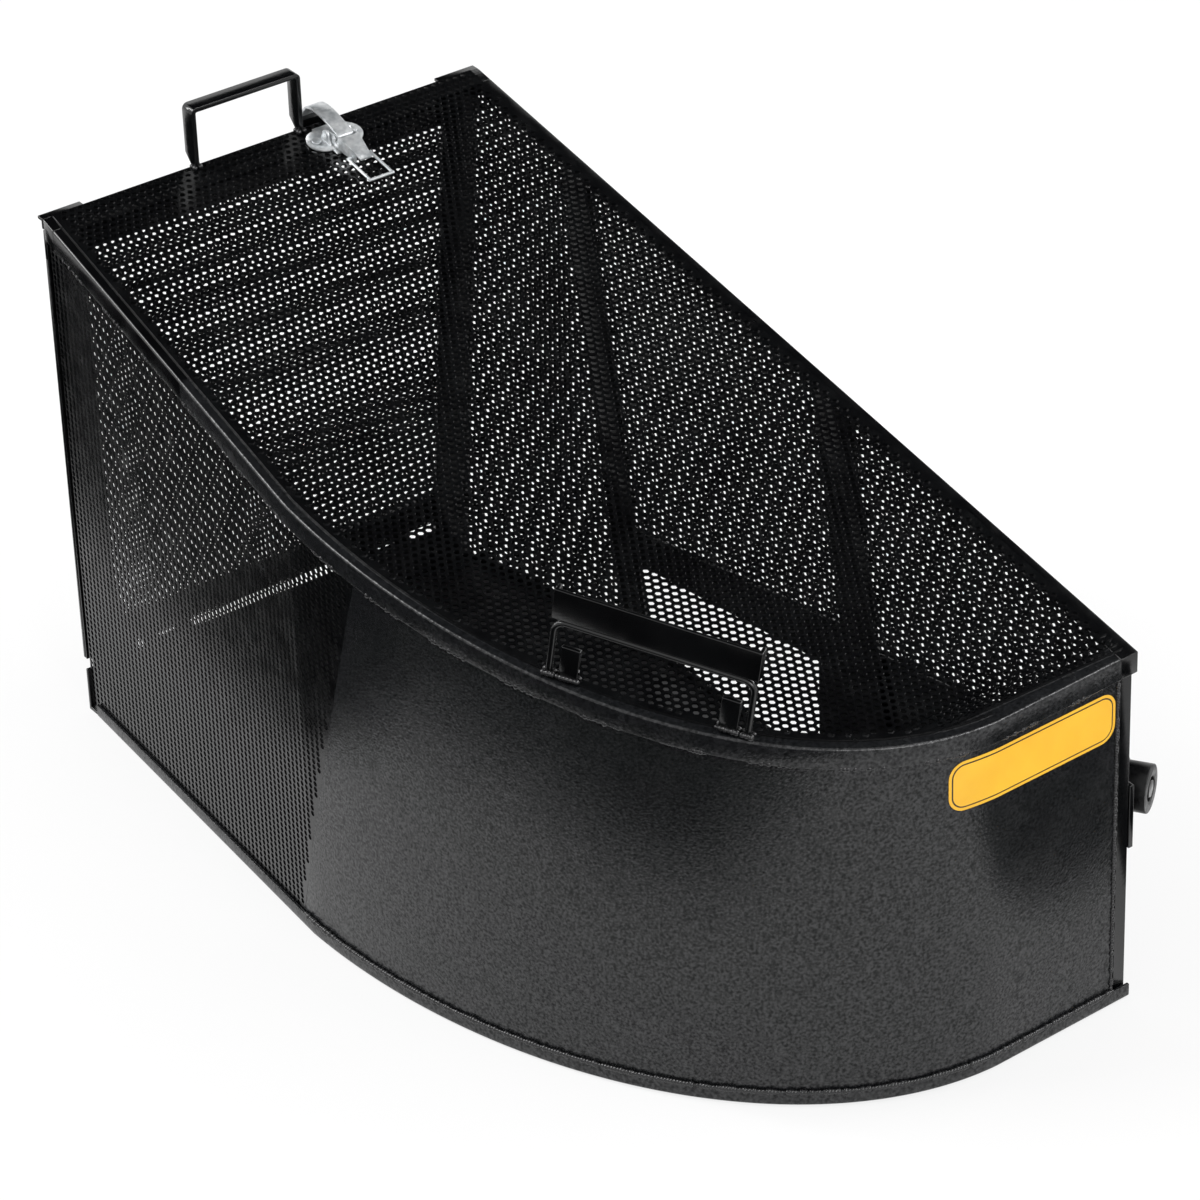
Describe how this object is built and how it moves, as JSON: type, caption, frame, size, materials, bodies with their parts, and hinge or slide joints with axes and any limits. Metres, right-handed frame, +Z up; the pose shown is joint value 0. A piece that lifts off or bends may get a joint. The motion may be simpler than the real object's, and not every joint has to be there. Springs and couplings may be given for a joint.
{
  "type": "grass catcher",
  "caption": "Black steel grass catcher for a walk-behind mower: curved bin with perforated top and walls, side inlet, rear door, draw latch and carry handles.",
  "frame": {"origin": "middle of the bounding box on the ground", "axes": "+X towards the mower side with the inlet, +Y towards the rear door, +Z up"},
  "size_m": [0.4768, 0.8246, 0.4942],
  "materials": {
    "black_paint": "gloss powder coat",
    "black_sheet": "satin powder coat on perforated sheet",
    "zinc_plate": "bright zinc plate",
    "roller_rubber": "matt black rubber"
  },
  "bodies": {
    "catcher": {"top_rim_rear": "black_paint", "top_rim_mower_side": "black_paint", "top_rim_outer_side": "black_paint", "top_rim_nose": "black_paint", "base_rim_mower_side": "black_paint", "base_rim_outer_side": "black_paint", "rear_sill": "black_paint", "nose_panel": "black_paint", "lean_post_rear": "black_paint", "lean_post_middle": "black_paint", "inlet_header": "black_paint", "mower_side_panel": "black_paint", "front_corner_post": "black_paint", "rear_corner_post": "black_paint", "rear_leaning_post": "black_paint", "rear_corner_gusset": "black_paint", "corner_tab_outer": "black_paint", "corner_tab_mower_side": "black_paint", "hinge_leaf_outer": "black_paint", "hinge_pin_outer": "black_paint", "hinge_leaf_mower_side": "black_paint", "hinge_pin_mower_side": "black_paint", "rear_handle": "black_paint", "front_handle_rod": "black_paint", "front_handle_grip": "black_paint", "front_handle_lug_near": "black_paint", "front_handle_lug_far": "black_paint", "hitch_washer": "black_paint", "hitch_bolt": "black_paint", "hitch_nut": "black_paint", "hitch_bracket": "black_paint", "floor_pan": "black_sheet", "top_screen": "black_sheet", "outer_screen": "black_sheet", "mower_side_screen_rear": "black_sheet", "mower_side_screen_front": "black_sheet", "latch_base": "zinc_plate", "latch_rivet_outer": "zinc_plate", "latch_rivet_mower_side": "zinc_plate", "latch_pivot_pin": "zinc_plate"},
    "door": {"door_screen": "black_sheet", "door_bar_foot": "black_paint", "door_bar_head": "black_paint", "door_bar_outer": "black_paint", "door_bar_mower_side": "black_paint", "door_hinge_leaf_outer": "black_paint", "door_hinge_leaf_mower_side": "black_paint", "latch_keeper": "black_paint"},
    "latch_lever": {"latch_lever": "zinc_plate", "latch_strap_pin": "zinc_plate"},
    "latch_strap": {"latch_strap": "zinc_plate"},
    "latch_wire": {"latch_wire": "zinc_plate"},
    "hitch_roller": {"hitch_roller": "roller_rubber"}
  },
  "joints": [
    {"name": "door_hinge", "type": "hinge", "parent": "catcher", "child": "door", "pos_m": [-0.0261, 0.40725, 0.042], "axis": [-1, 0, 0], "range_deg": [0, 100]},
    {"name": "latch_lever_pivot", "type": "hinge", "parent": "catcher", "child": "latch_lever", "pos_m": [0.0376, 0.36991, 0.44626], "axis": [-1, 0, 0], "range_deg": [0, 100]},
    {"name": "latch_strap_pivot", "type": "hinge", "parent": "latch_lever", "child": "latch_strap", "pos_m": [0.0376, 0.3595, 0.44766], "axis": [-1, 0, 0], "range_deg": [-110, 0]},
    {"name": "latch_wire_pivot", "type": "hinge", "parent": "latch_lever", "child": "latch_wire", "pos_m": [0.0376, 0.33986, 0.43818], "axis": [-1, 0, 0], "range_deg": [0, 120]},
    {"name": "hitch_roller_spin", "type": "hinge", "parent": "catcher", "child": "hitch_roller", "pos_m": [0.2116, -0.36825, 0.158], "axis": [0.5592, -0.829, 0], "continuous": true}
  ],
  "couplings": [
    {"joint": "latch_strap_pivot", "follows": "latch_lever_pivot", "ratio": -1.08}
  ]
}
